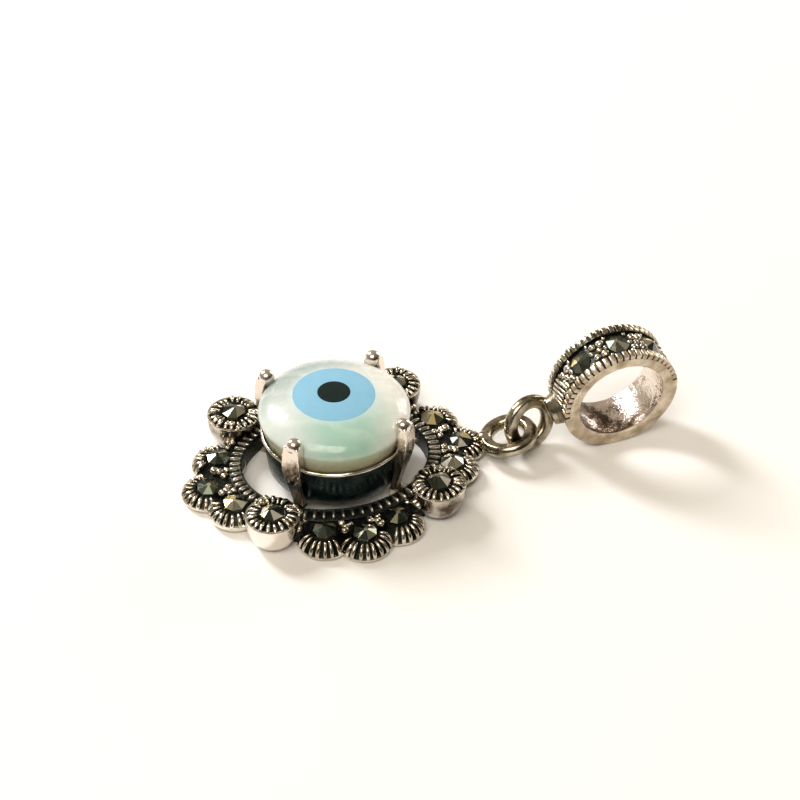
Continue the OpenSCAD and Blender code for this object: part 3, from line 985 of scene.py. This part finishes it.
def on_bail(degrees, r, aside=0):
    """A place on the bail's band: its direction round the bore, its radius and how far along the bore."""
    return in_bail @ turn(-degrees, "Y") @ moved(r, aside, 0)


def is_decorated(x, y):
    return decorated_from < math.degrees(math.atan2(y, x)) % 360 < decorated_to


band = turned("bail_band", [
    (bore_r + 0.08, -half_w), (bore_r + 0.02, -half_w + 0.03), (bore_r, -half_w + 0.09),
    (bore_r, half_w - 0.09), (bore_r + 0.02, half_w - 0.03), (bore_r + 0.08, half_w),
    (tooth_floor_r - 0.02, half_w), (bail_r - 0.06, half_w), (bail_r - 0.02, half_w - 0.02),
    (bail_r, half_w - 0.06), (bail_r, channel_half), (bail_r, channel_half - 0.03), (bail_r, 0),
    (bail_r, 0.03 - channel_half), (bail_r, -channel_half), (bail_r, 0.06 - half_w),
    (bail_r - 0.02, 0.02 - half_w), (bail_r - 0.06, -half_w), (tooth_floor_r - 0.02, -half_w),
], band_sides, closed=True)
for corner in band.data.vertices:
    x, y, z = corner.co / MM
    r = math.hypot(x, y)
    if r > tooth_floor_r and is_decorated(x, y):
        lowered = channel_r if abs(z) < channel_half - 0.01 else bail_r - notch_depth
        corner.co.xy *= lowered / r
        corner.co.z = max(-half_w + notch_depth, min(half_w - notch_depth, z)) * MM
band.data.transform(turn(90, "X"))
coated(band, face_silver, bore_silver, black, rule=lambda c: (
    1 if math.hypot(c.x, c.z) < bore_r + 0.02
    else 2 if math.hypot(c.x, c.z) > tooth_floor_r - 0.01 and is_decorated(c.x, c.z)
    else 0
))
tooth_step = (decorated_to - decorated_from) / teeth
tooth_r = (bail_r + tooth_floor_r - 0.12) / 2
tooth_h = bail_r - tooth_floor_r + 0.12
rails = []
for side, metal in ((-1, face_silver), (1, loop_silver)):
    tooth = rounded_block("tooth", (tooth_h, half_w - channel_half, tooth_w), 0.06)
    coated(tooth, metal)
    rails += repeated(tooth, [
        turn(-(decorated_from + (k + 0.5) * tooth_step), "Y")
        @ moved(tooth_r, side * (half_w + channel_half) / 2, 0)
        for k in range(teeth)
    ])
ridge = rounded_block("ridge", (0.4, 1.6, 0.24), 0.09)
coated(ridge, bright)
ridge_places = [
    turn(-(decorated_to - 4 - ridge_step * k), "Y") @ moved(channel_r + 0.05, 0, 0) @ turn(16, "X")
    for k in range(ridges)
]
band = joined("bail_band", [band, *rails, *repeated(ridge, ridge_places)])
band.data.transform(in_bail)
smoothed(band, 45)
fitted(band, "silver", "bail")


# Grains of the bail
# Small beads fill the channel between its stones and beyond them. They are cast with the band, like those
# of the frame.
first_stone = 132
stone_step = 42
bail_stones = 3
grain_spots = [                        # degrees round the bore, distance along it, radius
    (-4.5, -0.48, 0.27), (4.5, -0.48, 0.27), (-4.5, 0.48, 0.27), (4.5, 0.48, 0.27), (0, 0, 0.22),
    (-7.5, 0, 0.17), (7.5, 0, 0.17),
    (-10, -0.8, 0.15), (10, -0.8, 0.15), (-10, 0.8, 0.15), (10, 0.8, 0.15),
]
grain_places = []
for i in range(-1, bail_stones):
    between = first_stone - (i + 0.5) * stone_step
    for swing, aside, size in grain_spots:
        round_bore = between + swing + scatter.uniform(-1, 1)
        if decorated_from + 2 < round_bore < decorated_to - 2:
            size *= scatter.uniform(0.9, 1.1)
            rolled = turn(scatter.uniform(0, 360), "X")
            grain_places.append(on_bail(round_bore, channel_r, aside) @ rolled @ Matrix.Scale(size, 4))
bail_grains = joined("bail_grains", repeated(cast_grain(), grain_places))
smoothed(bail_grains, 60)
fitted(bail_grains, "silver", "bail")


# Bail's loop
# A second ring of wire passes through the frame's loop. A short thick neck of dark silver joins it to the
# band, soldered at both ends.
link_at = (13.245, -0.835, 2.042)
link_turn = 20
link_tilt = 78
neck_angle = 20.7
bail_shift = 0.4
neck_foot_r = 1.2
neck_r = 0.95
neck_from = bail_r - 0.35
neck_to = bail_r + 0.05 + wire_r
link = wire_ring("bail_loop", 0.8)
link.data.transform(moved(*link_at) @ turn(link_turn, "Z") @ turn(link_tilt, "X"))
bpy.ops.object.select_all(action="DESELECT")
bpy.ops.mesh.primitive_cone_add(
    vertices=40, radius1=neck_foot_r * MM, radius2=neck_r * MM, depth=(neck_to - neck_from) * MM
)
neck = bpy.context.object
lean = math.radians(bail_lean)
neck_side = in_bail @ moved(0, bail_shift * math.cos(lean), -bail_shift * math.sin(lean))
neck.data.transform(
    neck_side @ turn(-(180 + neck_angle), "Y") @ moved((neck_from + neck_to) / 2, 0, 0) @ turn(90, "Y")
)
link = fused("bail_loop", [link, neck], 12)
neck_silver = cast_silver("neck_silver", (0.34, 0.29, 0.21, 1), (0.06, 0.05, 0.035, 1), 0.22, 0.38, 0.014)
coated(link, loop_silver, neck_silver, rule=lambda c: (
    1 if (c - Vector(link_at)).length > loop_r + wire_r + 0.1 else 0
))
smoothed(link, 80)
fitted(link, "silver", "bail")


# Stones of the bail
# Three of the same marcasites are set in a row in the channel, sunk in its floor, with the grains between
# them.
for i in range(bail_stones):
    seat = on_bail(first_stone - i * stone_step, channel_r - seat_depth) @ turn(90, "Y")
    set_marcasite(f"cut_bail_marcasite_{i + 1}", f"bail_marcasite_{i + 1}", seat)
bpy.data.objects.remove(stone)
